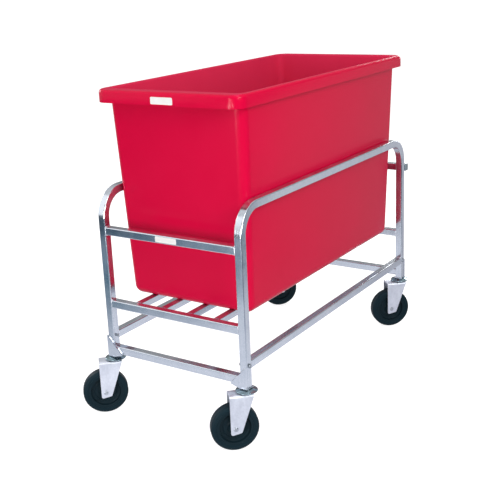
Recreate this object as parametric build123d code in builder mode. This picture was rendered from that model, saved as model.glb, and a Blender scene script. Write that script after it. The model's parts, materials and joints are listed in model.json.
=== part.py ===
from build123d import *
import os
from math import cos, radians, sin

os.makedirs("parts", exist_ok=True)

# All sizes are in millimetres. X runs along the cart, with the push rail at +X,
# Y runs across it and Z is up. The origin lies on the floor in the middle of the
# four wheels, which all trail the same way. Left and right are seen by the person
# who pushes towards -X, so the left side is at -Y.

# Square tube of the frame, and the lighter tube of the deck slats
tube = 22.2
tube_wall = 1.6
tube_corner = 3.0
slat_tube = 19.0
slat_wall = 1.5
slat_corner = 2.5

# Tub: the bottom's outer size, and how far the mouth and the rim stand out beyond it
tub_bottom_length = 842.0
tub_bottom_width = 392.0
tub_end_flare = 22.0
tub_side_flare = 18.5
tub_height = 576.0
tub_wall = 5.0
tub_corner = 26.0
tub_bottom_radius = 22.0
mouth_edge_radius = 5.0
rim_end_overhang = 36.0
rim_side_overhang = 14.0
rim_height = 34.0
rim_wall = 4.5
rim_corner = 36.0
rim_edge_radius = 9.0

# Room for the tub in the frame: at the deck's ends, beside the top rails, and how far back it stands
tub_end_room = 46.9
tub_side_room = 2.75
tub_setback = 9.0

# Heights of the frame's tubes, from the foot of the posts to the tubes' centres
lower_end_rail_rise = 19.0
lower_side_rail_rise = 60.0
deck_rise = 155.0
upper_end_rail_rise = 364.0
push_rail_rise = 375.0
top_rail_rise = 468.0
bend_radius = 70.0
slat_count = 4
slat_pitch = 86.0

# Gusset plate on the outer face of each foot
gusset_thickness = 5.5
gusset_width = 50.0

# Plugs in the push rail's open ends
plug_flange = 2.5
plug_depth = 14.0
plug_fit = 0.15

# Stem sockets in the posts, and the cross bolts that hold them
socket_fit = 0.15
socket_flange = 2.0
socket_flange_width = 26.0
socket_height = 76.0
stem_tip_clearance = 2.0
bolt_diameter = 6.0
bolt_hole_clearance = 0.3
bolt_head_width = 10.0
bolt_head_height = 4.0
nut_height = 5.0
nut_fit = 0.1
bolt_tip = 1.5

# Caster wheel
wheel_diameter = 127.0
tyre_width = 32.0
tyre_shoulder = 7.0
tyre_depth = 15.0
bond_gap = 0.1
core_rim_depth = 7.0
core_rim_width = 28.0
core_web = 9.0
hub_diameter = 34.0
hub_width = 36.0

# Caster fork and axle
trail = 36.0
trail_angle = 134.0
wheel_to_crown = 25.0
crown_thickness = 4.0
leg_wall = 3.0
leg_gap = 38.0
leg_bend_radius = 8.0
leg_heel = 15.0
leg_toe = 13.0
leg_end_heel = 16.0
leg_end_heel_drop = 11.5
leg_end_toe_drop = 17.5
leg_corner = 5.0
axle_diameter = 9.5
axle_fit = 0.15
axle_head_diameter = 13.0
axle_head_height = 2.5
bushing_diameter = 14.0
running_clearance = 0.05

# Caster swivel
lower_race_diameter = 38.0
lower_race_height = 2.4
upper_race_diameter = 58.0
upper_race_wall = 2.0
upper_race_flat_diameter = 34.0
upper_race_dish = 4.0
upper_race_edge = 0.8
race_fit = 0.1
ball_diameter = 4.5
ball_clearance = 0.3
ball_seat = 0.1
ball_circle = 28.0
ball_count = 6
kingpin_diameter = 12.0
kingpin_head_diameter = 20.0
kingpin_head_height = 3.5
kingpin_head_clearance = 0.3
stem_collar_diameter = 19.0
stem_collar_height = 1.7
stem_diameter = 11.0
stem_length = 40.0
stem_fit = 0.1

# Heights that follow from the caster's stack, from the floor up
axle_z = wheel_diameter / 2
crown_bottom = wheel_diameter + wheel_to_crown
crown_top = crown_bottom + crown_thickness
lower_race_top = crown_top + lower_race_height
ball_z = lower_race_top + ball_clearance + ball_diameter / 2
upper_race_underside = ball_z + ball_diameter / 2 + ball_seat
upper_race_top = upper_race_underside + upper_race_wall
stem_collar_top = upper_race_top + stem_collar_height
foot_z = stem_collar_top + socket_flange

# Tube centre heights above the floor
lower_end_rail_z = foot_z + lower_end_rail_rise
lower_side_rail_z = foot_z + lower_side_rail_rise
deck_z = foot_z + deck_rise
upper_end_rail_z = foot_z + upper_end_rail_rise
push_rail_z = foot_z + push_rail_rise
top_rail_z = foot_z + top_rail_rise
deck_top = deck_z + tube / 2
tub_floor_z = deck_top + tub_wall
tub_top = deck_top + tub_height

# Sizes of the tub higher up, and the frame that is made to its size
tub_mouth_length = tub_bottom_length + 2 * tub_end_flare
tub_mouth_width = tub_bottom_width + 2 * tub_side_flare
rim_length = tub_mouth_length + 2 * rim_end_overhang
rim_width = tub_mouth_width + 2 * rim_side_overhang
tub_width_at_top_rail = tub_bottom_width + 2 * tub_side_flare * (top_rail_z - deck_top) / tub_height
post_spacing_x = tub_bottom_length + 2 * tub_end_room + tube
post_spacing_y = tub_width_at_top_rail + 2 * tub_side_room + tube

# Plan positions: the frame stands off the wheels by the casters' trail
trail_direction = (cos(radians(trail_angle)), sin(radians(trail_angle)), 0)
middle_x = -trail * trail_direction[0]
middle_y = -trail * trail_direction[1]
front_x = middle_x - post_spacing_x / 2
rear_x = middle_x + post_spacing_x / 2
left_y = middle_y - post_spacing_y / 2
right_y = middle_y + post_spacing_y / 2
tub_x = middle_x + tub_setback
ends = {"front": front_x, "rear": rear_x}
sides = {"left": left_y, "right": right_y}
outward_x = {"front": -1, "rear": 1}
outward_y = {"left": -1, "right": 1}
corners = [(end, side) for end in ends for side in sides]

# Sizes shared by pieces that fit each other
tube_bore = tube - 2 * tube_wall
slat_bore = slat_tube - 2 * slat_wall
post_gap_x = post_spacing_x - tube
post_gap_y = post_spacing_y - tube
bolt_hole_radius = bolt_diameter / 2 + bolt_hole_clearance
kingpin_hole_radius = kingpin_diameter / 2 + running_clearance


def write(piece, label):
    """Labels a finished piece and writes it as one STEP file."""
    piece.part.label = label
    export_step(piece.part, f"parts/{label}.step")


def tube_section(width, bore, corner):
    """Draws the section of a square tube in the open sketch."""
    RectangleRounded(width, width, corner)
    Rectangle(bore, bore, mode=Mode.SUBTRACT)


def rail(label, start, direction, length):
    """Makes a straight frame tube with square-cut ends."""
    with BuildPart() as piece:
        with BuildSketch(Plane(origin=start, z_dir=direction)):
            tube_section(tube, tube_bore, tube_corner)
        extrude(amount=length)
    write(piece, label)


# Side frames: one tube each, bent into an upside-down U that makes two posts and a top rail
for side, y in sides.items():
    with BuildPart() as side_frame:
        with BuildLine(Plane(origin=(0, y, 0), x_dir=(1, 0, 0), z_dir=(0, -1, 0))):
            FilletPolyline(
                (front_x, foot_z),
                (front_x, top_rail_z),
                (rear_x, top_rail_z),
                (rear_x, foot_z),
                radius=bend_radius,
            )
        with BuildSketch(Plane(origin=(front_x, y, foot_z), z_dir=(0, 0, 1))):
            tube_section(tube, tube_bore, tube_corner)
        sweep()
        # Cross holes for the bolts that hold the stem sockets
        with Locations(Plane(origin=(0, y, lower_side_rail_z), x_dir=(1, 0, 0), z_dir=(0, -1, 0))):
            with Locations((front_x, 0), (rear_x, 0)):
                Hole(bolt_hole_radius)
    write(side_frame, f"side_frame_{side}")

# Rails across the ends, cut to fit between the posts
for end, x in ends.items():
    rail(f"lower_end_rail_{end}", (x, left_y + tube / 2, lower_end_rail_z), (0, 1, 0), post_gap_y)
    rail(f"deck_end_rail_{end}", (x, left_y + tube / 2, deck_z), (0, 1, 0), post_gap_y)
rail("upper_end_rail", (front_x, left_y + tube / 2, upper_end_rail_z), (0, 1, 0), post_gap_y)

# Push rail: lies on the outer faces of the rear posts, as long as the frame is wide
push_rail_x = rear_x + tube
rail("push_rail", (push_rail_x, left_y - tube / 2, push_rail_z), (0, 1, 0), post_spacing_y + tube)

# Rails along the sides, low down between the posts
for side, y in sides.items():
    rail(f"lower_side_rail_{side}", (front_x + tube / 2, y, lower_side_rail_z), (1, 0, 0), post_gap_x)

# Deck slats: lighter tubes between the deck end rails, with their tops flush
slat_z = deck_top - slat_tube / 2
for index in range(slat_count):
    slat_y = middle_y + (index - (slat_count - 1) / 2) * slat_pitch
    with BuildPart() as deck_slat:
        with BuildSketch(Plane(origin=(front_x + tube / 2, slat_y, slat_z), z_dir=(1, 0, 0))):
            tube_section(slat_tube, slat_bore, slat_corner)
        extrude(amount=post_gap_x)
    write(deck_slat, f"deck_slat_{index + 1}")

# Push rail plugs: a square flange and a stub in each open end of the rail
plug_stub = tube_bore - 2 * plug_fit
with BuildPart() as push_rail_plugs:
    for side, y in sides.items():
        rail_end = (push_rail_x, y + outward_y[side] * tube / 2, push_rail_z)
        with BuildSketch(Plane(origin=rail_end, z_dir=(0, outward_y[side], 0))):
            RectangleRounded(tube, tube, tube_corner)
        extrude(amount=plug_flange)
        with BuildSketch(Plane(origin=rail_end, z_dir=(0, -outward_y[side], 0))):
            Rectangle(plug_stub, plug_stub)
        extrude(amount=plug_depth)
write(push_rail_plugs, "push_rail_plugs")

# Foot gussets: a plate on each foot's outer face, from the bolt's height down to the end rail
for end, side in corners:
    inward = -outward_y[side]
    plate_corner = (ends[end] + outward_x[end] * tube / 2, sides[side] - inward * tube / 2, foot_z)
    with BuildPart() as foot_gusset:
        with BuildSketch(Plane(origin=plate_corner, x_dir=(0, 1, 0), z_dir=(1, 0, 0))):
            with BuildLine():
                Polyline(
                    (0, 0),
                    (inward * tube, 0),
                    (inward * gusset_width, lower_end_rail_rise - tube / 2),
                    (0, lower_side_rail_rise),
                    close=True,
                )
            make_face()
        extrude(amount=outward_x[end] * gusset_thickness)
    write(foot_gusset, f"foot_gusset_{end}_{side}")

# Stem sockets: a square plug in each post with a bore for the caster's stem
socket_width = tube_bore - 2 * socket_fit
for end, side in corners:
    x, y = ends[end], sides[side]
    with BuildPart() as stem_socket:
        with BuildSketch(Plane(origin=(x, y, stem_collar_top))):
            Rectangle(socket_flange_width, socket_flange_width)
        extrude(amount=socket_flange)
        with BuildSketch(Plane(origin=(x, y, foot_z))):
            Rectangle(socket_width, socket_width)
        extrude(amount=socket_height)
        with Locations(Plane(origin=(x, y, stem_collar_top), z_dir=(0, 0, -1))):
            Hole(stem_diameter / 2 + stem_fit, depth=stem_length + stem_tip_clearance)
        with Locations(Plane(origin=(x, y, lower_side_rail_z), z_dir=(0, -1, 0))):
            Hole(bolt_hole_radius)
    write(stem_socket, f"stem_socket_{end}_{side}")

# Cross bolts and nuts: heads on the outer sides of the posts, nuts on the inner sides
with BuildPart() as cross_bolts:
    for end, side in corners:
        outer_face = (ends[end], sides[side] + outward_y[side] * tube / 2, lower_side_rail_z)
        with BuildSketch(Plane(origin=outer_face, z_dir=(0, outward_y[side], 0))):
            RegularPolygon(bolt_head_width / 2, 6, major_radius=False)
        extrude(amount=bolt_head_height)
        with BuildSketch(Plane(origin=outer_face, z_dir=(0, -outward_y[side], 0))):
            Circle(bolt_diameter / 2)
        extrude(amount=tube + nut_height + bolt_tip)
write(cross_bolts, "cross_bolts")

with BuildPart() as cross_nuts:
    for end, side in corners:
        inner_face = (ends[end], sides[side] - outward_y[side] * tube / 2, lower_side_rail_z)
        with BuildSketch(Plane(origin=inner_face, z_dir=(0, -outward_y[side], 0))):
            RegularPolygon(bolt_head_width / 2, 6, major_radius=False)
            Circle(bolt_diameter / 2 + nut_fit, mode=Mode.SUBTRACT)
        extrude(amount=nut_height)
write(cross_nuts, "cross_nuts")


def tub_plane(height):
    """Level plane over the middle of the tub."""
    return Plane(origin=(tub_x, middle_y, height))


def is_mouth_edge(edge):
    """True for the edges where the tub's inner wall meets the top of the rim."""
    centre = edge.center()
    level = abs(centre.Z - tub_top) < tub_wall / 2
    within_length = abs(centre.X - tub_x) < tub_mouth_length / 2
    within_width = abs(centre.Y - middle_y) < tub_mouth_width / 2
    return level and within_length and within_width


# Hollow of the tub: the form that the load fills, with a round edge to its floor
inner_corner = tub_corner - tub_wall
with BuildPart() as tub_hollow:
    with BuildSketch(tub_plane(tub_floor_z)):
        RectangleRounded(tub_bottom_length - 2 * tub_wall, tub_bottom_width - 2 * tub_wall, inner_corner)
    with BuildSketch(tub_plane(tub_top)):
        RectangleRounded(tub_mouth_length - 2 * tub_wall, tub_mouth_width - 2 * tub_wall, inner_corner)
    loft(ruled=True)
    fillet(tub_hollow.edges().group_by(Axis.Z)[0], tub_bottom_radius - tub_wall)

# Hollow of the rim: leaves an even wall under the rim's round edge
with BuildPart() as rim_hollow:
    with BuildSketch(tub_plane(tub_top - rim_height)):
        RectangleRounded(rim_length - 2 * rim_wall, rim_width - 2 * rim_wall, rim_corner - rim_wall)
    extrude(amount=rim_height - rim_wall)
    fillet(rim_hollow.edges().group_by(Axis.Z)[-1], rim_edge_radius - rim_wall)

# Tub: a drafted moulded bin with a turned-down rim, resting on the slats
with BuildPart() as tub:
    # Rim: a shallow tray turned upside down
    with BuildSketch(tub_plane(tub_top - rim_height)):
        RectangleRounded(rim_length, rim_width, rim_corner)
    extrude(amount=rim_height)
    fillet(tub.edges().group_by(Axis.Z)[-1], rim_edge_radius)
    add(rim_hollow.part, mode=Mode.SUBTRACT)
    # Body: drafted sides and a rounded bottom edge
    with BuildSketch(tub_plane(deck_top)):
        RectangleRounded(tub_bottom_length, tub_bottom_width, tub_corner)
    with BuildSketch(tub_plane(tub_top)):
        RectangleRounded(tub_mouth_length, tub_mouth_width, tub_corner)
    loft(ruled=True)
    fillet(tub.edges().group_by(Axis.Z)[0], tub_bottom_radius)
    add(tub_hollow.part, mode=Mode.SUBTRACT)
    fillet(tub.edges().filter_by(is_mouth_edge), mouth_edge_radius)
write(tub, "tub")

# Caster pieces are drawn once, with the stem on the Z axis and the wheel trailing along +X
axle_line = Axis((trail, 0, axle_z), (0, 1, 0))
wheel_section = Plane(origin=(trail, 0, axle_z), x_dir=(0, 1, 0), z_dir=(1, 0, 0))
core_radius = wheel_diameter / 2 - tyre_depth
fork_width = leg_gap + 2 * leg_wall

# Tyre: a solid rubber band with round shoulders
with BuildPart() as tyre:
    with BuildSketch(wheel_section) as tyre_section:
        with Locations((0, wheel_diameter / 2)):
            Rectangle(tyre_width, tyre_depth - bond_gap, align=(Align.CENTER, Align.MAX))
        fillet(tyre_section.vertices().group_by(Axis.Y)[-1], tyre_shoulder)
    revolve(axis=axle_line)

# Wheel core: hub, web and rim in one moulding, bored to run on the bushing
with BuildPart() as wheel_core:
    with BuildSketch(wheel_section):
        bore_radius = bushing_diameter / 2 + running_clearance
        with Locations((0, bore_radius)):
            Rectangle(core_web, core_radius - bore_radius, align=(Align.CENTER, Align.MIN))
            Rectangle(hub_width, hub_diameter / 2 - bore_radius, align=(Align.CENTER, Align.MIN))
        with Locations((0, core_radius)):
            Rectangle(core_rim_width, core_rim_depth, align=(Align.CENTER, Align.MAX))
    revolve(axis=axle_line)

# Axle bushing: a plain sleeve held between the fork's legs
with BuildPart() as axle_bushing:
    with BuildSketch(Plane(origin=(trail, leg_gap / 2, axle_z), z_dir=(0, -1, 0))):
        Circle(bushing_diameter / 2)
        Circle(axle_diameter / 2 + axle_fit, mode=Mode.SUBTRACT)
    extrude(amount=leg_gap)

# Axle rivet: a shank through both legs with a low head outside each of them
with BuildPart() as axle_rivet:
    with BuildSketch(Plane(origin=(trail, fork_width / 2, axle_z), z_dir=(0, -1, 0))):
        Circle(axle_diameter / 2)
    extrude(amount=fork_width)
    for outward in (-1, 1):
        with BuildSketch(Plane(origin=(trail, outward * fork_width / 2, axle_z), z_dir=(0, outward, 0))):
            Circle(axle_head_diameter / 2)
        extrude(amount=axle_head_height)

# Fork: a strap bent over the wheel, with legs that taper towards the axle
with BuildPart() as fork:
    with BuildSketch(Plane(origin=(-leg_heel, 0, crown_top), x_dir=(0, 1, 0), z_dir=(1, 0, 0))) as arch:
        Rectangle(fork_width, crown_top, align=(Align.CENTER, Align.MAX))
        fillet(arch.vertices().group_by(Axis.Y)[-1], leg_bend_radius)
        with BuildSketch(mode=Mode.PRIVATE) as arch_opening:
            with Locations((0, -crown_thickness)):
                Rectangle(leg_gap, crown_bottom, align=(Align.CENTER, Align.MAX))
            fillet(arch_opening.vertices().group_by(Axis.Y)[-1], leg_bend_radius - leg_wall)
        add(arch_opening.sketch, mode=Mode.SUBTRACT)
    extrude(amount=leg_heel + trail + leg_toe)
    with BuildSketch(Plane(origin=(0, fork_width / 2, 0), x_dir=(1, 0, 0), z_dir=(0, -1, 0))) as outline:
        with BuildLine():
            Polyline(
                (-leg_heel, crown_top),
                (trail + leg_toe, crown_top),
                (trail + leg_toe, axle_z - leg_end_toe_drop),
                (trail - leg_end_heel, axle_z - leg_end_heel_drop),
                (-leg_heel, crown_bottom),
                close=True,
            )
        make_face()
        fillet(outline.vertices().group_by(Axis.Y)[:2], leg_corner)
    extrude(amount=fork_width, mode=Mode.INTERSECT)
    with Locations((0, 0, crown_top)):
        Hole(kingpin_hole_radius, depth=crown_thickness)
    with Locations(Plane(origin=(trail, 0, axle_z), z_dir=(0, -1, 0))):
        Hole(axle_diameter / 2 + axle_fit)

# Lower race: a ring on the fork's crown that carries the balls
with BuildPart() as lower_race:
    with BuildSketch(Plane.XY.offset(crown_top)):
        Circle(lower_race_diameter / 2)
        Circle(kingpin_hole_radius, mode=Mode.SUBTRACT)
    extrude(amount=lower_race_height)

# Upper race: a dished disc over the balls, pressed on the kingpin under the stem's collar
with BuildPart() as upper_race:
    race_radius = upper_race_diameter / 2
    race_flat = upper_race_flat_diameter / 2
    race_bore = kingpin_diameter / 2 + race_fit
    with BuildSketch(Plane.XZ) as dish_section:
        with BuildLine():
            Polyline(
                (race_bore, upper_race_underside),
                (race_flat, upper_race_underside),
                (race_radius, upper_race_underside - upper_race_dish),
                (race_radius, upper_race_top - upper_race_dish),
                (race_flat, upper_race_top),
                (race_bore, upper_race_top),
                close=True,
            )
        make_face()
        fillet(dish_section.vertices().group_by(Axis.X)[-1], upper_race_edge)
    revolve(axis=Axis.Z)

# Kingpin: stem in the post's socket, a collar under the socket, pin through both races and a head under the crown
with BuildPart() as kingpin:
    head_top = crown_bottom - kingpin_head_clearance
    with BuildSketch(Plane.XZ):
        with BuildLine():
            Polyline(
                (0, head_top - kingpin_head_height),
                (kingpin_head_diameter / 2, head_top - kingpin_head_height),
                (kingpin_head_diameter / 2, head_top),
                (kingpin_diameter / 2, head_top),
                (kingpin_diameter / 2, upper_race_top),
                (stem_collar_diameter / 2, upper_race_top),
                (stem_collar_diameter / 2, stem_collar_top),
                (stem_diameter / 2, stem_collar_top),
                (stem_diameter / 2, stem_collar_top + stem_length),
                (0, stem_collar_top + stem_length),
                close=True,
            )
        make_face()
    revolve(axis=Axis.Z)

caster_pieces = {
    "upper_race": upper_race,
    "kingpin": kingpin,
    "lower_race": lower_race,
    "fork": fork,
    "axle_rivet": axle_rivet,
    "axle_bushing": axle_bushing,
    "wheel_core": wheel_core,
    "tyre": tyre,
}

# Each caster stands under its post, turned so that its wheel trails
caster_planes = []
for end, side in corners:
    stem_foot = (ends[end], sides[side], 0)
    caster_plane = Plane(origin=stem_foot, x_dir=trail_direction, z_dir=(0, 0, 1))
    caster_planes.append(caster_plane)
    for name, piece in caster_pieces.items():
        with BuildPart(caster_plane) as placed_piece:
            add(piece.part)
        write(placed_piece, f"{name}_{end}_{side}")

# Swivel balls: a ring of loose balls between the races of every caster
with BuildPart(*caster_planes) as swivel_balls:
    with Locations((0, 0, ball_z)):
        with PolarLocations(ball_circle / 2, ball_count):
            Sphere(ball_diameter / 2)
write(swivel_balls, "swivel_balls")
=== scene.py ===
import json
import math

import bmesh
import bpy
from mathutils import Matrix, Vector


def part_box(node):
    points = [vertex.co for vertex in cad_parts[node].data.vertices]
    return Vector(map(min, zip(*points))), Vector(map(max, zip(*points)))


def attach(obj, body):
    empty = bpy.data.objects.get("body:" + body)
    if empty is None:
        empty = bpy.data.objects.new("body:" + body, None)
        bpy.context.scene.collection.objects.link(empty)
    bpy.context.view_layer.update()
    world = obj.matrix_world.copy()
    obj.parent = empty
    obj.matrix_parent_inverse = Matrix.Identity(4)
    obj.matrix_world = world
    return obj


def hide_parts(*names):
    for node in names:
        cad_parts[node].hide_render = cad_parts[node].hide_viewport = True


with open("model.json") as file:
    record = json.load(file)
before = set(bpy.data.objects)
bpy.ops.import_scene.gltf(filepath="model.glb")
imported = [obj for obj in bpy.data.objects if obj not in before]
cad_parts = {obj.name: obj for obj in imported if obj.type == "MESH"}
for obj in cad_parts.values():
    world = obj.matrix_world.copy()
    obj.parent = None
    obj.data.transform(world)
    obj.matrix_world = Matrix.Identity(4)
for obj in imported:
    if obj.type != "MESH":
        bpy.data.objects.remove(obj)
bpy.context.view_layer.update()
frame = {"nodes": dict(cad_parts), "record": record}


# Frame tubes
# Square steel tube, bent or cut and welded, then bright zinc plated all over.
# Drawing leaves faint lines along each tube, and the plating dries in soft clouds and specks.
def new_material(name):
    """Makes a node material and returns it with its nodes, its links and its shader."""
    material = bpy.data.materials.new(name)
    material.use_nodes = True
    tree = material.node_tree
    return material, tree.nodes, tree.links, tree.nodes["Principled BSDF"]


def new_group(name, inputs, outputs):
    """Makes a shader node group with named inputs and outputs, and returns it with its nodes and links."""
    group = bpy.data.node_groups.new(name, "ShaderNodeTree")
    for label, kind, value in inputs:
        socket = group.interface.new_socket(label, in_out="INPUT", socket_type=kind)
        socket.default_value = value
    for label, kind in outputs:
        group.interface.new_socket(label, in_out="OUTPUT", socket_type=kind)
    given = group.nodes.new("NodeGroupInput")
    result = group.nodes.new("NodeGroupOutput")
    return group, group.nodes, group.links, given, result


def feed(links, value, socket):
    """Links a socket to another one, or sets it where the value is a plain number or colour."""
    if isinstance(value, bpy.types.NodeSocket):
        links.new(value, socket)
    else:
        socket.default_value = value


def add_noise(parts, links, vector, scale, detail, roughness):
    """Adds a noise texture on a vector and returns its value socket."""
    noise = parts.new("ShaderNodeTexNoise")
    noise.inputs["Detail"].default_value = detail
    noise.inputs["Roughness"].default_value = roughness
    links.new(vector, noise.inputs["Vector"])
    feed(links, scale, noise.inputs["Scale"])
    return noise.outputs["Fac"]


def add_range(parts, links, value, low, high, out_low=0.0, out_high=1.0):
    """Adds a clamped range from one span of values to another and returns its value socket."""
    span = parts.new("ShaderNodeMapRange")
    links.new(value, span.inputs["Value"])
    span.inputs["From Min"].default_value = low
    span.inputs["From Max"].default_value = high
    span.inputs["To Min"].default_value = out_low
    span.inputs["To Max"].default_value = out_high
    return span.outputs["Result"]


def add_math(parts, links, operation, first, second=0.0):
    """Adds a calculation on one or two sockets or numbers and returns its value socket."""
    node = parts.new("ShaderNodeMath")
    node.operation = operation
    feed(links, first, node.inputs[0])
    feed(links, second, node.inputs[1])
    return node.outputs[0]


def add_mix(parts, links, factor, first, second):
    """Mixes two colours, given as sockets or as red, green and blue, and returns the colour socket."""
    mix = parts.new("ShaderNodeMix")
    mix.data_type = "RGBA"
    links.new(factor, mix.inputs["Factor"])
    first_colour, second_colour = [socket for socket in mix.inputs if socket.type == "RGBA"]
    for socket, value in ((first_colour, first), (second_colour, second)):
        feed(links, (*value, 1) if isinstance(value, tuple) else value, socket)
    return next(socket for socket in mix.outputs if socket.type == "RGBA")


def add_bump(parts, links, shader, height, distance):
    """Feeds a height into the shader's normal as a fine relief."""
    bump = parts.new("ShaderNodeBump")
    bump.inputs["Distance"].default_value = distance
    bump.inputs["Strength"].default_value = 1.0
    links.new(height, bump.inputs["Height"])
    links.new(bump.outputs["Normal"], shader.inputs["Normal"])


cloud_scale = 16.0
crystal_scale = 260.0
line_share = 0.45
cloud_share = 0.55
crystal_share = 0.10
wave_share = 0.5
plate, parts, links, given, result = new_group(
    "zinc_plate",
    [("Stretch", "NodeSocketVector", (1.0, 1.0, 1.0))],
    [("Tone", "NodeSocketFloat"), ("Haze", "NodeSocketFloat"), ("Relief", "NodeSocketFloat")],
)
place = parts.new("ShaderNodeTexCoord").outputs["Object"]
stretched = parts.new("ShaderNodeVectorMath")
stretched.operation = "MULTIPLY"
links.new(place, stretched.inputs[0])
links.new(given.outputs["Stretch"], stretched.inputs[1])
drawn_lines = add_noise(parts, links, stretched.outputs["Vector"], 1.0, detail=3.0, roughness=0.6)
clouds = add_noise(parts, links, place, cloud_scale, detail=5.0, roughness=0.62)
crystals = parts.new("ShaderNodeTexVoronoi")
crystals.inputs["Scale"].default_value = crystal_scale
links.new(place, crystals.inputs["Vector"])
spangle = parts.new("ShaderNodeSeparateColor")
links.new(crystals.outputs["Color"], spangle.inputs["Color"])
tone = add_math(parts, links, "MULTIPLY", drawn_lines, line_share)
for layer, share in ((clouds, cloud_share), (spangle.outputs["Red"], crystal_share)):
    tone = add_math(parts, links, "ADD", tone, add_math(parts, links, "MULTIPLY", layer, share))
links.new(tone, result.inputs["Tone"])
links.new(add_range(parts, links, clouds, low=0.40, high=0.68), result.inputs["Haze"])
soft_waves = add_math(parts, links, "MULTIPLY", clouds, wave_share)
links.new(add_math(parts, links, "ADD", drawn_lines, soft_waves), result.inputs["Relief"])


def zinc_finish(name, stretch, dark, light, smooth, hazy, relief):
    """Makes a zinc-plated steel whose drawn lines run along the axis that is stretched least."""
    material, parts, links, shader = new_material(name)
    plated = parts.new("ShaderNodeGroup")
    plated.node_tree = plate
    plated.inputs["Stretch"].default_value = stretch
    tone = add_range(parts, links, plated.outputs["Tone"], low=0.38, high=0.68)
    links.new(add_mix(parts, links, tone, dark, light), shader.inputs["Base Color"])
    for socket, clear_value, hazy_value in (("Roughness", smooth, hazy), ("Metallic", 0.97, 0.88)):
        level = add_range(parts, links, plated.outputs["Haze"], 0.0, 1.0, clear_value, hazy_value)
        links.new(level, shader.inputs[socket])
    add_bump(parts, links, shader, plated.outputs["Relief"], relief)
    return material


def coat_nodes(starts, material):
    """Gives a finish to every kept node whose name starts with one of the given words."""
    for name, node in frame["nodes"].items():
        if name.startswith(starts):
            for slot in node.material_slots:
                slot.material = material


def tube_zinc(name, stretch):
    """Makes the frame's plating with its drawn lines along one axis."""
    return zinc_finish(
        name, stretch,
        dark=(0.53, 0.58, 0.65), light=(0.64, 0.68, 0.75), smooth=0.13, hazy=0.21, relief=0.000015,
    )


zinc_across = tube_zinc("zinc_tube_across", (340, 5, 340))
zinc_along = tube_zinc("zinc_tube_along", (5, 340, 340))
zinc_upright = tube_zinc("zinc_tube_upright", (340, 340, 5))
coat_nodes(("upper_end_rail", "deck_end_rail", "lower_end_rail"), zinc_across)
coat_nodes(("lower_side_rail", "deck_slat"), zinc_along)
coat_nodes(("side_frame", "foot_gusset", "stem_socket"), zinc_upright)
for slot in frame["nodes"]["push_rail"].material_slots:
    slot.material = zinc_across


# Weld beads
# Rippled beads of weld where rails, slats and gussets meet the tubes that carry them, plated with the
# frame and painted paler than the tubes as a highlight. One bead is drawn out ring by ring, and its copies
# are joined into one piece.
def draw_ring(rise, radius_change):
    """Extrudes the selected face or ring along Z and changes its radius about the Z axis."""
    bpy.ops.mesh.extrude_region_move(TRANSFORM_OT_translate={"value": (0, 0, rise)})
    bpy.ops.transform.resize(value=(radius_change, radius_change, 1), center_override=(0, 0, 0))


def set_copy(pattern, name, place, heading, stretch=1.0):
    """Copies a piece made about Z, mesh and all, to a place, with its Z axis turned to a heading."""
    piece = pattern.copy()
    piece.data = pattern.data.copy()
    piece.name = name
    bpy.context.scene.collection.objects.link(piece)
    turned = Vector((0, 0, 1)).rotation_difference(Vector(heading)).to_matrix().to_4x4()
    piece.matrix_world = Matrix.Translation(place) @ turned @ Matrix.Diagonal((1, 1, stretch, 1))
    bpy.ops.object.select_all(action="DESELECT")
    piece.select_set(True)
    bpy.context.view_layer.objects.active = piece
    bpy.ops.object.transform_apply(location=True, rotation=True, scale=True)
    return piece


def join_pieces(name, pieces):
    """Joins several pieces into one."""
    bpy.ops.object.select_all(action="DESELECT")
    for piece in pieces:
        piece.select_set(True)
    bpy.context.view_layer.objects.active = pieces[0]
    bpy.ops.object.join()
    pieces[0].name = name
    return pieces[0]


bead_length = 0.022
bead_end_radius = 0.0010
ripple_radii = (0.0021, 0.0026, 0.0021, 0.0027, 0.0022, 0.0026, 0.0020, 0.0027, 0.0022, 0.0026, 0.0021)
bead_rings = (*ripple_radii, bead_end_radius)
bpy.ops.object.select_all(action="DESELECT")
bpy.ops.mesh.primitive_circle_add(
    vertices=8, radius=bead_end_radius, fill_type="NGON", location=(0, 0, -bead_length / 2)
)
bead = bpy.context.object
bpy.ops.object.transform_apply(location=True, rotation=True, scale=True)
bpy.ops.object.mode_set(mode="EDIT")
bpy.ops.mesh.select_all(action="SELECT")
radius = bead_end_radius
for ring_radius in bead_rings:
    draw_ring(bead_length / len(bead_rings), ring_radius / radius)
    radius = ring_radius
bpy.ops.mesh.select_all(action="SELECT")
bpy.ops.mesh.normals_make_consistent(inside=False)
bpy.ops.object.mode_set(mode="OBJECT")
bpy.ops.object.shade_smooth_by_angle(angle=math.radians(70))

corners = ("front_left", "front_right", "rear_left", "rear_right")
tube_half = 0.0111
flush_inset = 0.0018
face_reach = tube_half - flush_inset
rail_weld = 0.019
slat_weld = 0.016
push_rail_weld = 0.021
gusset_weld = 0.024
gusset_width = 0.0500
gusset_outer_rise = 0.0600
gusset_inner_rise = 0.0079
along_x, along_y, upright = (1, 0, 0), (0, 1, 0), (0, 0, 1)

# Places on a gusset's sloping edge, each given as in from its outer side and up from its foot.
gusset_weld_places = ((0.0111, 0.0484), (0.0392, 0.0191))

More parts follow.
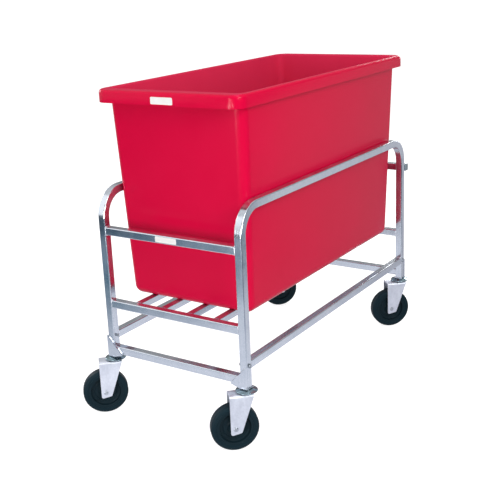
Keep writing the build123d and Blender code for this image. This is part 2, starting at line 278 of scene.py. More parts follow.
# Each weld is a place, a heading and a length.
weld_lines = []
for rail in (
    "upper_end_rail",
    "deck_end_rail_front",
    "deck_end_rail_rear",
    "lower_end_rail_front",
    "lower_end_rail_rear",
):
    low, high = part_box(rail)
    middle = (low + high) / 2
    inner_face = 1 if middle.x < 0 else -1
    faces = (inner_face,) if rail.startswith("lower") else (-1, 1)
    for y in (low.y, high.y):
        for z in (low.z, high.z):
            weld_lines.append(((middle.x, y, z), along_x, rail_weld))
        for face in faces:
            weld_lines.append(((middle.x + face * face_reach, y, middle.z), upright, rail_weld))
for rail in ("lower_side_rail_left", "lower_side_rail_right"):
    low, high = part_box(rail)
    middle = (low + high) / 2
    for x in (low.x, high.x):
        for z in (low.z, high.z):
            weld_lines.append(((x, middle.y, z), along_y, rail_weld))
        for face in (-1, 1):
            weld_lines.append(((x, middle.y + face * face_reach, middle.z), upright, rail_weld))
for slat in ("deck_slat_1", "deck_slat_2", "deck_slat_3", "deck_slat_4"):
    low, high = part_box(slat)
    for x in (low.x, high.x):
        for y in (low.y, high.y):
            weld_lines.append(((x, y, (low.z + high.z) / 2), upright, slat_weld))
push_low, push_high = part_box("push_rail")
for post in ("side_frame_left", "side_frame_right"):
    low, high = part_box(post)
    for z in (push_low.z, push_high.z):
        weld_lines.append(((push_low.x, (low.y + high.y) / 2, z), along_y, push_rail_weld))
for corner in corners:
    low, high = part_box(f"foot_gusset_{corner}")
    contact_x = high.x if corner.startswith("front") else low.x
    outer_y, inward = (low.y, 1) if corner.endswith("left") else (high.y, -1)
    slope = Vector((0, inward * gusset_width, gusset_inner_rise - gusset_outer_rise)).normalized()
    for from_side, above_foot in gusset_weld_places:
        place = (contact_x, outer_y + inward * from_side, low.z + above_foot)
        weld_lines.append((place, slope, gusset_weld))
weld_beads = join_pieces(
    "weld_beads",
    [set_copy(bead, "bead", place, heading, length / bead_length) for place, heading, length in weld_lines],
)
bpy.data.objects.remove(bead)
# Painted highlight: the beads' zinc is paler than the tubes', standing in for glints on their round backs;
# it is rougher as well.
weld_zinc_painted_highlight = zinc_finish(
    "weld_zinc_painted_highlight", (70, 70, 70),
    dark=(0.55, 0.58, 0.64), light=(0.74, 0.77, 0.83), smooth=0.28, hazy=0.40, relief=0.00012,
)
weld_beads.data.materials.append(weld_zinc_painted_highlight)
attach(weld_beads, "frame")


# Push rail plugs
# Grey moulded plastic plugs that close the push rail's open ends. Each has a crowned square flange
# and a stub that is pushed into the tube.
plug_flange = 0.0025
plug_corner_radius = 0.003
plug_shoulder = 0.0018
plug_stub = 0.014
plug_taper = 0.0001
plug_crown_radius = 0.0012
plug_low, plug_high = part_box("push_rail_plugs")
plug_middle = (plug_low + plug_high) / 2
plug_width = plug_high.z - plug_low.z

# Moulded skin shared by the plastic, the rubber and the film: a cloudy tone and a fine grain.
skin, parts, links, given, result = new_group(
    "moulded_skin",
    [("Cloud Scale", "NodeSocketFloat", 6.0), ("Grain Scale", "NodeSocketFloat", 500.0)],
    [("Clouds", "NodeSocketFloat"), ("Grain", "NodeSocketFloat")],
)
place = parts.new("ShaderNodeTexCoord").outputs["Object"]
skin_clouds = add_noise(parts, links, place, given.outputs["Cloud Scale"], detail=4.0, roughness=0.6)
skin_grain = add_noise(parts, links, place, given.outputs["Grain Scale"], detail=2.0, roughness=0.5)
links.new(skin_clouds, result.inputs["Clouds"])
links.new(skin_grain, result.inputs["Grain"])


def moulded_finish(name, dark, light, smooth, rough, cloud_scale, grain_scale, relief, gloss):
    """Makes a moulded finish with a fine grain, clouded from dark to light and from smooth to rough."""
    material, parts, links, shader = new_material(name)
    surface = parts.new("ShaderNodeGroup")
    surface.node_tree = skin
    surface.inputs["Cloud Scale"].default_value = cloud_scale
    surface.inputs["Grain Scale"].default_value = grain_scale
    clouds = surface.outputs["Clouds"]
    links.new(add_mix(parts, links, clouds, dark, light), shader.inputs["Base Color"])
    roughness = add_range(parts, links, clouds, low=0.3, high=0.7, out_low=smooth, out_high=rough)
    links.new(roughness, shader.inputs["Roughness"])
    add_bump(parts, links, shader, surface.outputs["Grain"], relief)
    shader.inputs["Specular IOR Level"].default_value = gloss
    return material


def pick(piece, kind, wanted):
    """Selects the vertices, edges or faces of a piece in edit mode that pass a test on their place."""
    bpy.ops.mesh.select_mode(type=kind)
    bpy.ops.mesh.select_all(action="DESELECT")
    form = bmesh.from_edit_mesh(piece.data)
    for element in {"VERT": form.verts, "EDGE": form.edges, "FACE": form.faces}[kind]:
        if wanted(element):
            element.select_set(True)
    form.select_flush_mode()
    bmesh.update_edit_mesh(piece.data)


def ends_pass(edge, test):
    """True when both ends of an edge pass a test on their place."""
    return test(edge.verts[0].co) and test(edge.verts[1].co)


def rise_along(edge):
    """Gives how far an edge goes up or down."""
    return abs(edge.verts[0].co.z - edge.verts[1].co.z)


plug_grey = moulded_finish(
    "grey_plug_plastic",
    dark=(0.16, 0.21, 0.25), light=(0.24, 0.29, 0.33), smooth=0.42, rough=0.56,
    cloud_scale=60.0, grain_scale=900.0, relief=0.00005, gloss=0.5,
)

# How near a point must be to a level or a radius to count as on it.
slack = 1e-4
bpy.ops.object.select_all(action="DESELECT")
bpy.ops.mesh.primitive_cube_add(
    size=1, location=(0, 0, -plug_flange / 2), scale=(plug_width, plug_width, plug_flange)
)
plug = bpy.context.object
plug.name = "plug"
bpy.ops.object.transform_apply(location=True, rotation=True, scale=True)
bpy.ops.object.mode_set(mode="EDIT")
pick(plug, "EDGE", lambda edge: rise_along(edge) > plug_flange / 2)
bpy.ops.mesh.bevel(offset=plug_corner_radius, segments=5, affect="EDGES")
pick(plug, "FACE", lambda face: face.normal.z < -0.9)
bpy.ops.mesh.inset(thickness=plug_shoulder, depth=0)
bpy.ops.mesh.inset(thickness=plug_taper, depth=plug_stub)
pick(plug, "EDGE", lambda edge: ends_pass(edge, lambda place: place.z > -slack))
bpy.ops.mesh.bevel(offset=plug_crown_radius, segments=3, affect="EDGES")
bpy.ops.object.mode_set(mode="OBJECT")
bpy.ops.object.shade_smooth_by_angle(angle=math.radians(50))
plugs = [
    set_copy(plug, "plug", (plug_middle.x, y, plug_middle.z), (0, outward, 0))
    for y, outward in ((plug_low.y, -1), (plug_high.y, 1))
]
bpy.data.objects.remove(plug)
moulded_plugs = join_pieces("moulded_plugs", plugs)
moulded_plugs.data.materials.append(plug_grey)
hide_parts("push_rail_plugs")
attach(moulded_plugs, "frame")


# Cross bolts and nuts
# Zinc-plated hexagon screws through the feet of the posts, which hold the caster sockets in the tube.
# Heads are on the outer sides and nuts on the inner ones, both chamfered to a round face.
fastener_zinc = zinc_finish(
    "fastener_zinc", (90, 90, 90),
    dark=(0.22, 0.25, 0.29), light=(0.40, 0.43, 0.47), smooth=0.28, hazy=0.42, relief=0.00008,
)
thread_radius = 0.003
face_radius = 0.0048
flat_radius = 0.005
head_height = 0.004
head_dish_inset = 0.0014
head_dish_depth = 0.0003
nut_height = 0.005
bolt_tip = 0.0015
chamfer = 0.0004
ring_points = 24
ring_step = 360 / ring_points


def place_in_ring(vertex):
    """Gives the number of a point in its ring, counted from the X axis."""
    return round(math.degrees(math.atan2(vertex.co.y, vertex.co.x)) / ring_step)


def square_up_hexagon(piece, level):
    """Moves the ring of points at a height out to a hexagon with its flats at the ring's radius."""
    for steps_off_corner, degrees_off_flat in (((0,), 30), ((1, 3), 15)):
        reach = 1 / math.cos(math.radians(degrees_off_flat))
        pick(
            piece,
            "VERT",
            lambda vertex: abs(vertex.co.z - level) < slack
            and place_in_ring(vertex) % 4 in steps_off_corner,
        )
        bpy.ops.transform.resize(value=(reach, reach, 1), center_override=(0, 0, 0))


def draw_hexagon(piece, height, start_radius):
    """Draws a hexagon with both faces chamfered round, up from the selected ring of points at height 0."""
    draw_ring(0, face_radius / start_radius)
    draw_ring(chamfer, flat_radius / face_radius)
    draw_ring(height - 2 * chamfer, 1)
    draw_ring(chamfer, face_radius / flat_radius)
    for level in (chamfer, height - chamfer):
        square_up_hexagon(piece, level)


def start_ring(name, radius, height, fill):
    """Starts a turned piece from a ring of points, all selected in edit mode."""
    bpy.ops.object.select_all(action="DESELECT")
    bpy.ops.mesh.primitive_circle_add(
        vertices=ring_points, radius=radius, fill_type=fill, location=(0, 0, height)
    )
    piece = bpy.context.object
    piece.name = name
    bpy.ops.object.transform_apply(location=True, rotation=True, scale=True)
    bpy.ops.object.mode_set(mode="EDIT")
    bpy.ops.mesh.select_all(action="SELECT")
    return piece


def finish_turning(sharp_angle):
    """Closes a turned piece, turns its faces outwards and shades it smooth up to an angle in degrees."""
    bpy.ops.mesh.select_all(action="SELECT")
    bpy.ops.mesh.remove_doubles(threshold=1e-6)
    bpy.ops.mesh.normals_make_consistent(inside=False)
    bpy.ops.object.mode_set(mode="OBJECT")
    bpy.ops.object.shade_smooth_by_angle(angle=math.radians(sharp_angle))


shank_length = 2 * tube_half + nut_height + bolt_tip
bolt = start_ring("bolt", thread_radius - chamfer, -shank_length, "NGON")
draw_ring(chamfer, thread_radius / (thread_radius - chamfer))
draw_ring(shank_length - chamfer, 1)
draw_hexagon(bolt, head_height, thread_radius)
pick(bolt, "FACE", lambda face: face.calc_center_median().z > head_height - slack)
bpy.ops.mesh.inset(thickness=head_dish_inset, depth=-head_dish_depth)
finish_turning(sharp_angle=25)
nut = start_ring("nut", thread_radius, 0, "NOTHING")
draw_hexagon(nut, nut_height, thread_radius)
pick(nut, "EDGE", lambda edge: ends_pass(edge, lambda place: place.z > nut_height - slack))
draw_ring(0, thread_radius / face_radius)
pick(
    nut,
    "EDGE",
    lambda edge: ends_pass(edge, lambda place: place.xy.length < thread_radius + slack)
    and rise_along(edge) < slack,
)
bpy.ops.mesh.bridge_edge_loops()
finish_turning(sharp_angle=25)

bolts = []
nuts = []
for corner in corners:
    side = corner.split("_")[1]
    outward = -1 if side == "left" else 1
    pin_low, pin_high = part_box(f"kingpin_{corner}")
    post_x = (pin_low.x + pin_high.x) / 2
    rail_low, rail_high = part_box(f"lower_side_rail_{side}")
    rail_middle = (rail_low + rail_high) / 2
    for copies, pattern, facing in ((bolts, bolt, outward), (nuts, nut, -outward)):
        place = (post_x, rail_middle.y + facing * tube_half, rail_middle.z)
        copies.append(set_copy(pattern, pattern.name, place, (0, facing, 0)))
bpy.data.objects.remove(bolt)
bpy.data.objects.remove(nut)
for name, node, copies in (("hexagon_bolts", "cross_bolts", bolts), ("hexagon_nuts", "cross_nuts", nuts)):
    fasteners = join_pieces(name, copies)
    fasteners.data.materials.append(fastener_zinc)
    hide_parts(node)
    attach(fasteners, "frame")


# Caster forks and rivets
# Forks pressed from steel strap, bent over the wheel and zinc plated to a dull sheen.
# Steel axle rivets run through both legs and are domed over on the outside.
fork_zinc = zinc_finish(
    "fork_zinc", (60, 60, 25),
    dark=(0.60, 0.63, 0.71), light=(0.75, 0.78, 0.86), smooth=0.42, hazy=0.58, relief=0.0001,
)
coat_nodes(("fork", "lower_race"), fork_zinc)
rivet_steel = zinc_finish(
    "rivet_steel", (150, 150, 150),
    dark=(0.34, 0.37, 0.42), light=(0.50, 0.53, 0.58), smooth=0.30, hazy=0.45, relief=0.0001,
)
joint_rows = {row["name"]: row for row in frame["record"]["behaviour"]["joints"]}
fork_width = 0.044
shank_radius = 0.00475
rivet_radius = 0.0065

# Steps from the outside in, each given as a way inwards and a way outwards.
dome_steps = ((0.0002, 0.0009), (0.0012, 0.0008), (0.0016, 0.0005), (0.0015, 0.0003), (0.0006, -0.0004))


def step_ends(steps):
    """Steps the selected end faces of a round piece in or out, from the outside in."""
    for inward, outward in steps:
        bpy.ops.mesh.inset(thickness=inward, depth=outward)


def start_cylinder(name, points, radius, length):
    """Starts a round piece about Z from a cylinder whose two end faces are selected in edit mode."""
    bpy.ops.object.select_all(action="DESELECT")
    bpy.ops.mesh.primitive_cylinder_add(vertices=points, radius=radius, depth=length, location=(0, 0, 0))
    piece = bpy.context.object
    piece.name = name
    bpy.ops.object.mode_set(mode="EDIT")
    pick(piece, "FACE", lambda face: abs(face.normal.z) > 0.9)
    return piece


rivet = start_cylinder("rivet", 32, shank_radius, fork_width)
draw_ring(0, rivet_radius / shank_radius)
step_ends(dome_steps)
finish_turning(sharp_angle=50)
rivet.data.materials.append(rivet_steel)
for corner in corners:
    roll_row = joint_rows[f"roll_{corner}"]
    domed_rivet = set_copy(rivet, f"domed_rivet_{corner}", roll_row["pos_m"], roll_row["axis"])
    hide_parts(f"axle_rivet_{corner}")
    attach(domed_rivet, f"caster_{corner}")
bpy.data.objects.remove(rivet)


# Caster swivels
# A dished disc over the balls, pressed from thin steel and blue-black from its plating.
# The kingpin, the balls and the bushing inside are turned or ground bright.
race_steel = zinc_finish(
    "dark_race_steel", (120, 120, 120),
    dark=(0.16, 0.24, 0.28), light=(0.34, 0.44, 0.48), smooth=0.10, hazy=0.18, relief=0.00004,
)
coat_nodes(("upper_race",), race_steel)
turned_steel = zinc_finish(
    "turned_steel", (20, 20, 900),
    dark=(0.42, 0.43, 0.45), light=(0.58, 0.59, 0.61), smooth=0.14, hazy=0.24, relief=0.00004,
)
coat_nodes(("kingpin", "swivel_balls", "axle_bushing"), turned_steel)


# Wheels
# Solid black rubber tyres moulded on hard black cores. Each tyre has round shoulders, a rib and a groove
# on both sides, and each core has a dished web with a ring on it and a hub that runs on the axle bushing.
tyre_black = moulded_finish(
    "black_tyre_rubber",
    dark=(0.004, 0.015, 0.022), light=(0.007, 0.021, 0.030), smooth=0.42, rough=0.58,
    cloud_scale=40.0, grain_scale=700.0, relief=0.0001, gloss=0.1,
)
core_black = moulded_finish(
    "black_core_plastic",
    dark=(0.004, 0.014, 0.020), light=(0.008, 0.020, 0.028), smooth=0.36, rough=0.48,
    cloud_scale=40.0, grain_scale=1100.0, relief=0.00005, gloss=0.1,
)
wheel_points = 96
tyre_radius = 0.0635
tyre_width = 0.032
shoulder_radius = 0.007
core_radius = 0.0485
core_width = 0.028
core_edge_radius = 0.0004
side_wall = ((0.0090, 0),)
tyre_rib = ((0.0006, 0.0005), (0.0016, 0))
tyre_groove = ((0.0006, -0.0011), (0.0012, 0), (0.0020, -0.0008))
core_rim = ((0.0014, 0), (0.0052, -0.0002), (0.0015, -0.0080), (0.0020, -0.0013))
core_web = ((0.0060, 0), (0.0008, 0.0012), (0.0012, 0), (0.0008, -0.0012), (0.0090, 0))
core_hub = ((0.0025, 0.0020), (0.0010, 0.0095), (0.0012, 0.0020), (0.0078, 0), (0.0010, -0.0010))


def apply_modifier(piece, kind, **settings):
    """Adds a modifier to the piece, sets it and applies it."""
    modifier = piece.modifiers.new(kind.lower(), kind)
    for name, value in settings.items():
        setattr(modifier, name, value)
    bpy.ops.object.modifier_apply(modifier=modifier.name)


def step_wheel(name, radius, width, steps):
    """Makes a wheel piece from a cylinder whose two ends are stepped inwards and then bored through."""
    piece = start_cylinder(name, wheel_points, radius, width)
    step_ends(steps)
    bpy.ops.mesh.bridge_edge_loops()
    return piece


def on_tread(place):
    """True for places on the tyre's outer surface."""
    return place.xy.length > tyre_radius - slack


tyre = step_wheel("tyre", tyre_radius, tyre_width, side_wall + tyre_rib + tyre_groove)
pick(tyre, "EDGE", lambda edge: rise_along(edge) < slack and ends_pass(edge, on_tread))
bpy.ops.mesh.bevel(offset=shoulder_radius, segments=7, affect="EDGES")
finish_turning(sharp_angle=35)
core = step_wheel("core", core_radius, core_width, core_rim + core_web + core_hub)
finish_turning(sharp_angle=35)
apply_modifier(
    core, "BEVEL", width=core_edge_radius, segments=2, limit_method="ANGLE", angle_limit=math.radians(35)
)
for pattern, name, node, slot, material in (
    (tyre, "moulded_tyre", "tyre", "tyre_rubber", tyre_black),
    (core, "moulded_core", "wheel_core", "wheel_core", core_black),
):
    pattern.data.materials.append(material)
    for corner in corners:
        roll_row = joint_rows[f"roll_{corner}"]
        piece = set_copy(pattern, f"{name}_{corner}", roll_row["pos_m"], roll_row["axis"])
        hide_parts(f"{node}_{corner}")
        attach(piece, f"wheel_{corner}")
    bpy.data.objects.remove(pattern)


# Tub
# An open bin moulded in one piece from red polyethylene, with drafted walls, soft corners and a rim
# that turns outwards and down. It stands loose on the deck slats, so it can be lifted out and tipped.
tub_low, tub_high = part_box("tub")
tub_middle = (tub_low + tub_high) / 2
tub_wall = 0.005
tub_floor = tub_low.z + tub_wall
tub_height = tub_high.z - tub_floor
rim_length = tub_high.x - tub_low.x
rim_width = tub_high.y - tub_low.y
rim_height = 0.034
rim_end_overhang = 0.036
rim_side_overhang = 0.014
end_flare = 0.022
side_flare = 0.0185
mouth_length = rim_length - 2 * (rim_end_overhang + tub_wall)
mouth_width = rim_width - 2 * (rim_side_overhang + tub_wall)
floor_length = mouth_length - 2 * end_flare
floor_width = mouth_width - 2 * side_flare
corner_radius = 0.021
floor_edge_radius = 0.017
rim_corner_radius = 0.036
rim_edge_radius = 0.009
mouth_edge_radius = 0.005
lip_radius = 0.0022

bpy.ops.object.select_all(action="DESELECT")
bpy.ops.mesh.primitive_cube_add(
    size=1,
    location=(tub_middle.x, tub_middle.y, tub_floor + tub_height / 2),
    scale=(floor_length, floor_width, tub_height),
)
tub_shell = bpy.context.object
tub_shell.name = "tub_shell"
bpy.ops.object.transform_apply(location=True, rotation=True, scale=True)
bpy.ops.object.mode_set(mode="EDIT")
mouth_middle = (tub_middle.x, tub_middle.y, tub_high.z)
pick(tub_shell, "FACE", lambda face: face.normal.z > 0.9)
bpy.ops.transform.resize(
    value=(mouth_length / floor_length, mouth_width / floor_width, 1), center_override=mouth_middle
)
pick(tub_shell, "EDGE", lambda edge: rise_along(edge) > tub_height / 2)
bpy.ops.mesh.bevel(offset=corner_radius, segments=9, affect="EDGES")
pick(tub_shell, "FACE", lambda face: face.normal.z > 0.9)
bpy.ops.mesh.delete(type="ONLY_FACE")
pick(tub_shell, "EDGE", lambda edge: ends_pass(edge, lambda place: place.z < tub_floor + slack))
bpy.ops.mesh.bevel(offset=floor_edge_radius, segments=6, affect="EDGES")
pick(tub_shell, "EDGE", lambda edge: ends_pass(edge, lambda place: place.z > tub_high.z - slack))
bpy.ops.mesh.extrude_edges_move()
bpy.ops.transform.resize(
    value=(rim_length / mouth_length, rim_width / mouth_width, 1), center_override=mouth_middle
)


def on_rim_outline(place):
    """True for places on the outer edge of the rim's flat top."""
    beyond_mouth = abs(place.x - tub_middle.x) > mouth_length / 2 + 10 * slack
    beside_mouth = abs(place.y - tub_middle.y) > mouth_width / 2 + 10 * slack
    return place.z > tub_high.z - slack and (beyond_mouth or beside_mouth)


def on_mouth_outline(place):
    """True for places on the inner edge of the rim's flat top."""
    return place.z > tub_high.z - slack and not on_rim_outline(place)


# The rim's corners are opened out to their own radius about the points where its straight edges would meet.
growth_x = rim_corner_radius / (corner_radius * rim_length / mouth_length)
growth_y = rim_corner_radius / (corner_radius * rim_width / mouth_width)
for corner_x in (tub_low.x, tub_high.x):
    for corner_y in (tub_low.y, tub_high.y):
        pick(
            tub_shell,
            "VERT",
            lambda vertex: on_rim_outline(vertex.co)
            and abs(vertex.co.x - corner_x) < 2 * corner_radius
            and abs(vertex.co.y - corner_y) < 2 * corner_radius,
        )
        bpy.ops.transform.resize(
            value=(growth_x, growth_y, 1), center_override=(corner_x, corner_y, tub_high.z)
        )
pick(tub_shell, "EDGE", lambda edge: ends_pass(edge, on_rim_outline))
bpy.ops.mesh.extrude_edges_move(TRANSFORM_OT_translate={"value": (0, 0, -rim_height)})
pick(tub_shell, "EDGE", lambda edge: ends_pass(edge, on_rim_outline))
bpy.ops.mesh.bevel(offset=rim_edge_radius, segments=6, affect="EDGES")
pick(tub_shell, "EDGE", lambda edge: ends_pass(edge, on_mouth_outline))
bpy.ops.mesh.bevel(offset=mouth_edge_radius, segments=4, affect="EDGES")

# The faces drawn so far are the tub's inside and the rim's outer side. The wall gets its thickness behind
# them, so they first turn to face that way.
bpy.ops.mesh.select_all(action="SELECT")
bpy.ops.mesh.normals_make_consistent(inside=False)
tub_faces = bmesh.from_edit_mesh(tub_shell.data).faces
lowest_face = min(tub_faces, key=lambda face: face.calc_center_median().z)
if lowest_face.normal.z > 0:
    bpy.ops.mesh.flip_normals()
bpy.ops.object.mode_set(mode="OBJECT")
apply_modifier(tub_shell, "SOLIDIFY", thickness=tub_wall, offset=1.0, use_even_offset=True)
apply_modifier(
    tub_shell, "BEVEL", width=lip_radius, segments=3, limit_method="ANGLE", angle_limit=math.radians(60)
)
bpy.ops.object.shade_smooth_by_angle(angle=math.radians(40))

# The inside and the top of the rim are rougher and less glossy than the outside, so duller. Their paler,
# pinker colour is a painted sheen, standing in for the haze of light that lies on them.
tub_red = moulded_finish(
    "red_polyethylene",
    dark=(0.590, 0.0006, 0.036), light=(0.660, 0.0014, 0.048), smooth=0.20, rough=0.268,
    cloud_scale=5.0, grain_scale=420.0, relief=0.00005, gloss=0.1,
)
# Painted sheen: this red is paler and pinker than the outside's, in place of the light's haze on the inner
# walls and rim top.
inside_red_painted_sheen = moulded_finish(
    "red_polyethylene_inside",
    dark=(0.625, 0.022, 0.076), light=(0.695, 0.031, 0.090), smooth=0.36, rough=0.46,
    cloud_scale=5.0, grain_scale=420.0, relief=0.00005, gloss=0.01,
)
tub_shell.data.materials.append(tub_red)
tub_shell.data.materials.append(inside_red_painted_sheen)


def faces_inside(face):
    """True for the faces of the tub's inner walls and floor, its mouth edge and the flat top of its rim."""
    centre = face.calc_center_median()
    out_x = abs(centre.x - tub_middle.x)
    out_y = abs(centre.y - tub_middle.y)
    in_mouth = out_x < mouth_length / 2 and out_y < mouth_width / 2
    if centre.z < tub_high.z - mouth_edge_radius:
        return in_mouth and face.normal.dot(tub_middle - centre) > 0
    on_flat = out_x < rim_length / 2 - rim_edge_radius and out_y < rim_width / 2 - rim_edge_radius
    return on_flat and (in_mouth or face.normal.z > 0)


bpy.ops.object.mode_set(mode="EDIT")
pick(tub_shell, "FACE", faces_inside)
tub_shell.active_material_index = 1
bpy.ops.object.material_slot_assign()
bpy.ops.object.mode_set(mode="OBJECT")
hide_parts("tub")
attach(tub_shell, "tub")


# Labels
# Two plain white film labels, left blank for the owner's own marks, one on the rim and one on the
# upper end rail. Each is die cut with round corners and stuck on.
label_white = moulded_finish(
    "white_label_film",
    dark=(0.74, 0.73, 0.71), light=(0.84, 0.84, 0.83), smooth=0.30, rough=0.42,
    cloud_scale=55.0, grain_scale=1500.0, relief=0.00002, gloss=0.5,
)
label_thickness = 0.0003
label_corner_radius = 0.003
label_y = -0.022
rim_label_z = 0.8895
rail_low, rail_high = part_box("upper_end_rail")
rail_label_z = (rail_low.z + rail_high.z) / 2
for name, body, face_x, z, label_length, label_height in (
    ("rim_label", "tub", tub_low.x, rim_label_z, 0.069, 0.0185),
    ("rail_label", "frame", rail_low.x, rail_label_z, 0.068, 0.0155),
):
    bpy.ops.object.select_all(action="DESELECT")
    bpy.ops.mesh.primitive_cube_add(
        size=1,
        location=(face_x - label_thickness / 2, label_y, z),
        scale=(label_thickness, label_length, label_height),
    )
    label = bpy.context.object
    label.name = name
    bpy.ops.object.transform_apply(location=True, rotation=True, scale=True)
    bpy.ops.object.mode_set(mode="EDIT")
    pick(label, "EDGE", lambda edge: abs(edge.verts[0].co.x - edge.verts[1].co.x) > label_thickness / 2)
    bpy.ops.mesh.bevel(offset=label_corner_radius, segments=5, affect="EDGES")
    bpy.ops.object.mode_set(mode="OBJECT")
    label.data.materials.append(label_white)
    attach(label, body)


# Studio floor
# A plain pale floor, far wider than the picture. It shows white to the camera and in reflections,
# and keeps the cart's soft shadow.
floor_side = 240
floor_glow = 0.81
floor_grey = (0.45, 0.45, 0.45, 1)
bpy.ops.object.select_all(action="DESELECT")
bpy.ops.mesh.primitive_plane_add(size=floor_side)
studio_floor = bpy.context.object
studio_floor.name = "studio_floor"
floor_white, parts, links, shader = new_material("floor_white")
shader.inputs["Base Color"].default_value = floor_grey
shader.inputs["Roughness"].default_value = 1.0
shader.inputs["Specular IOR Level"].default_value = 0.0
path = parts.new("ShaderNodeLightPath")
seen = path.outputs["Is Camera Ray"]
for way in ("Is Glossy Ray", "Is Transmission Ray"):
    seen = add_math(parts, links, "MAXIMUM", seen, path.outputs[way])
links.new(add_math(parts, links, "MULTIPLY", seen, floor_glow), shader.inputs["Emission Strength"])
shader.inputs["Emission Color"].default_value = (1, 1, 1, 1)
studio_floor.data.materials.append(floor_white)


# Studio flags
# Dark and white cloths on the floor and cards beside the cart, as photographers set them for metal and
# gloss. Only reflections see them, so the picture's background stays white.
def add_ramp(parts, links, value, stops):
    """Adds a colour ramp over a value from 0 to 1 and returns its colour socket."""
    ramp = parts.new("ShaderNodeValToRGB")
    links.new(value, ramp.inputs["Fac"])
    elements = ramp.color_ramp.elements
    while len(elements) < len(stops):
        elements.new(0.5)
    for element, (place, colour) in zip(elements, stops):
        element.position = place
        element.color = (*colour, 1)
    return ramp.outputs["Color"]


def lay_cloth(name, material, size, place, turn=(0, 0, 0)):
    """Sets up a flat cloth or card that only reflections see."""
    bpy.ops.object.select_all(action="DESELECT")
    bpy.ops.mesh.primitive_plane_add(size=1, location=place, rotation=turn)
    cloth = bpy.context.object
    cloth.name = name
    cloth.scale = (*size, 1)
    bpy.ops.object.transform_apply(location=True, rotation=True, scale=True)
    cloth.visible_camera = False
    cloth.visible_diffuse = False
    cloth.visible_shadow = False
    cloth.visible_transmission = False
    cloth.data.materials.append(material)


# The floor cloth's tone goes by the distance from the cart's near corner and by the bearing from it.
near_corner = Vector((-0.42, -0.23))
white_cloth = (0.92, 0.93, 1.0)
flag_cloth, parts, links, shader = new_material("flag_cloth")
from_corner = parts.new("ShaderNodeVectorMath")
from_corner.operation = "SUBTRACT"
links.new(parts.new("ShaderNodeTexCoord").outputs["Object"], from_corner.inputs[0])
from_corner.inputs[1].default_value = (*near_corner, 0)
distance_out = parts.new("ShaderNodeVectorMath")
distance_out.operation = "LENGTH"
links.new(from_corner.outputs["Vector"], distance_out.inputs[0])
reach_out = distance_out.outputs["Value"]
spread = parts.new("ShaderNodeSeparateXYZ")
links.new(from_corner.outputs["Vector"], spread.inputs["Vector"])
bearing = add_math(parts, links, "ARCTAN2", spread.outputs["Y"], spread.outputs["X"])


def past_bearing(start, full, out_high=1.0):
    """Adds a range over the bearing that rises from 0 between two angles in degrees."""
    return add_range(parts, links, bearing, math.radians(start), math.radians(full), out_high=out_high)


# In front of the end: white close by, darkening outwards to a bright seam and a black far edge.
# The near post sees the same tones a little further out than the rest.
post_lead = past_bearing(146, 147.2, out_high=0.22)
end_reach = add_math(parts, links, "SUBTRACT", reach_out, post_lead)
end_cloth = add_ramp(
    parts,
    links,
    add_range(parts, links, end_reach, low=0.4, high=2.4),
    [
        (0.025, white_cloth),
        (0.21, (0.80, 0.82, 0.89)),
        (0.30, (0.50, 0.55, 0.63)),
        (0.40, (0.28, 0.36, 0.43)),
        (0.525, (0.11, 0.21, 0.28)),
        (0.625, (0.07, 0.16, 0.23)),
        (0.68, (0.32, 0.41, 0.51)),
        (0.78, (0.15, 0.24, 0.32)),
        (0.95, (0.03, 0.06, 0.09)),
    ],
)

# Along the side: white to grey close by, and further out a dark sector followed by a white one.
side_reach = add_range(parts, links, reach_out, low=0.4, high=1.6)
near_cloth = add_ramp(
    parts,
    links,
    side_reach,
    [(0.04, white_cloth), (0.30, (0.80, 0.80, 0.86)), (0.75, (0.56, 0.57, 0.63))],
)
far_cloth = add_ramp(
    parts,
    links,
    past_bearing(-75, -5),
    [
        (0.577, (0.10, 0.16, 0.22)),
        (0.606, (0.86, 0.85, 0.88)),
        (0.714, (0.69, 0.69, 0.73)),
        (0.90, (0.54, 0.54, 0.59)),
    ],
)
past_near_cloth = add_range(parts, links, reach_out, low=1.28, high=1.45)
side_tone = add_mix(parts, links, past_near_cloth, near_cloth, far_cloth)
outer_tone = add_mix(parts, links, past_bearing(90, 100), side_tone, end_cloth)

# Off the corner itself: a sector that darkens outwards.
corner_cloth = add_ramp(
    parts,
    links,
    side_reach,
    [
        (0.1, white_cloth),
        (0.4, (0.42, 0.47, 0.56)),
        (0.75, (0.14, 0.18, 0.24)),
        (1.0, (0.08, 0.11, 0.15)),
    ],
)
sector_bearing = math.radians(-116)
off_sector = add_math(parts, links, "ABSOLUTE", add_math(parts, links, "SUBTRACT", bearing, sector_bearing))
in_sector = add_range(parts, links, off_sector, math.radians(46), math.radians(60), 1.0, 0.0)
shown_tone = add_mix(parts, links, in_sector, outer_tone, corner_cloth)
shader.inputs["Base Color"].default_value = (0, 0, 0, 1)
shader.inputs["Roughness"].default_value = 1.0
shader.inputs["Specular IOR Level"].default_value = 0.0
shader.inputs["Emission Strength"].default_value = 1.0
links.new(shown_tone, shader.inputs["Emission Color"])
lay_cloth("studio_flag", flag_cloth, size=(60, 60), place=(0, 0, 0.003))


def glow_cloth(name, strength):
    """Makes a plain white cloth of a given brightness."""
    material, parts, links, shader = new_material(name)
    shader.inputs["Base Color"].default_value = (0, 0, 0, 1)
    shader.inputs["Emission Color"].default_value = (1, 1, 1, 1)
    shader.inputs["Emission Strength"].default_value = strength
    return material


def out_from_corner(heading, reach, height):
    """Gives the place at a heading and a distance from the cart's near corner."""
    return (*(near_corner + Vector((math.cos(heading), math.sin(heading))) * reach), height)


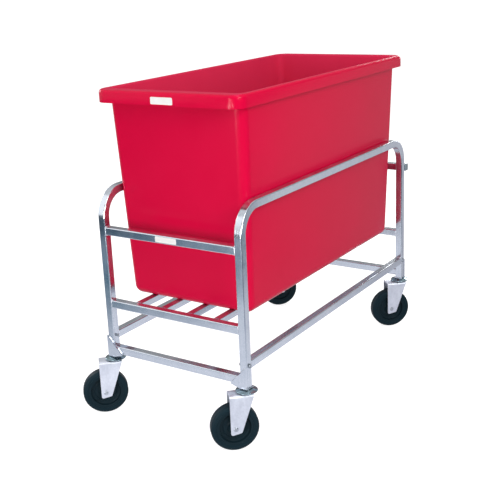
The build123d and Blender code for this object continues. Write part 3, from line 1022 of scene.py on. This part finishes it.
# Two bright strips far out for the rim's glints, and a small card near by for the tub's corner.
quarter_turn = math.radians(90)
strip_white = glow_cloth("strip_white", strength=75.0)
for name, heading in (("strip_end", math.radians(168)), ("strip_corner", math.radians(195))):
    strip_place = out_from_corner(heading, reach=3.5, height=0.006)
    lay_cloth(name, strip_white, size=(1.0, 0.36), place=strip_place, turn=(0, 0, heading))
card_heading = math.radians(164)
lay_cloth(
    "corner_card",
    glow_cloth("corner_white", strength=12.0),
    size=(0.25, 0.20),
    place=out_from_corner(card_heading, reach=0.9, height=0.57),
    turn=(quarter_turn, 0, card_heading - quarter_turn),
)

# A large upright card beyond the far post, which the bends of the tubes mirror.
lay_cloth(
    "studio_card",
    glow_cloth("card_white", strength=1.35),
    size=(2.6, 3.0),
    place=(-1.75, 2.1, 1.9),
    turn=(quarter_turn, 0, math.radians(40)),
)


# Studio light
# Four soft boxes round the cart: low at its near end, high by the near corner, behind the push rail and
# at the far side. The room is dim at eye level, bright overhead, and white where the camera looks at it.
room = bpy.data.worlds.new("studio_room")
bpy.context.scene.world = room
room.use_nodes = True
room_parts = room.node_tree.nodes
room_links = room.node_tree.links
room_parts["Background"].inputs["Color"].default_value = (1, 1, 1, 1)
upward = room_parts.new("ShaderNodeSeparateXYZ")
room_links.new(room_parts.new("ShaderNodeTexCoord").outputs["Generated"], upward.inputs["Vector"])
wall_glow = 0.28
ceiling_glow = 1.0
room_glow = add_range(room_parts, room_links, upward.outputs["Z"], 0.30, 0.95, wall_glow, ceiling_glow)
room_path = room_parts.new("ShaderNodeLightPath")
for way in ("Is Camera Ray", "Is Transmission Ray"):
    room_glow = add_math(room_parts, room_links, "MAXIMUM", room_glow, room_path.outputs[way])
room_links.new(room_glow, room_parts["Background"].inputs["Strength"])


def soft_box(name, place, aim_height, width, height, power):
    """Hangs a rectangular lamp at a place, turned to face the middle of the cart at a height."""
    lamp = bpy.data.lights.new(name, "AREA")
    lamp.shape = "RECTANGLE"
    lamp.size = width
    lamp.size_y = height
    lamp.energy = power
    holder = bpy.data.objects.new(name, lamp)
    bpy.context.scene.collection.objects.link(holder)
    toward = Vector((0, 0, aim_height)) - Vector(place)
    facing = toward.to_track_quat("-Z", "Y").to_matrix().to_4x4()
    holder.matrix_world = Matrix.Translation(place) @ facing


soft_box("soft_box_end", (-3.3, 0.0, 0.65), aim_height=0.55, width=1.0, height=1.2, power=39)
soft_box("soft_box_side", (-1.05, -2.0, 1.6), aim_height=0.5, width=1.0, height=1.4, power=36)
soft_box("soft_box_back", (3.2, 0.25, 1.25), aim_height=0.6, width=1.2, height=1.2, power=30)
soft_box("soft_box_far", (0.1, 3.3, 1.7), aim_height=0.5, width=1.4, height=1.4, power=40)


# Camera
# Stands in front of the near corner, a little above the rim, and is tilted slightly to one side.
# Its angles, distance and lens are fitted to the straight edges of the cart in the photograph.
turn = math.radians(-55.452)
rise = math.radians(15.641)
roll = math.radians(-2.733)
aim_point = Vector((-0.082749, 0.037542, 0.468775))
distance = 2.692589
focal_pixels = 910.1
image_pixels = 500
back = Vector((math.sin(turn) * math.cos(rise), -math.cos(turn) * math.cos(rise), math.sin(rise)))
level_right = Vector((math.cos(turn), math.sin(turn), 0))
level_up = back.cross(level_right)
right = math.cos(roll) * level_right + math.sin(roll) * level_up
up = math.cos(roll) * level_up - math.sin(roll) * level_right
lens = bpy.data.cameras.new("camera")
lens.sensor_width = 36
lens.lens = focal_pixels * lens.sensor_width / image_pixels
lens.shift_x = 0.04
lens.shift_y = -0.05
lens.clip_end = 300
camera = bpy.data.objects.new("camera", lens)
bpy.context.scene.collection.objects.link(camera)
facing = Matrix((right, up, back)).transposed().to_4x4()
camera.matrix_world = Matrix.Translation(aim_point + back * distance) @ facing
bpy.context.scene.camera = camera
bpy.context.scene.view_settings.view_transform = "Standard"
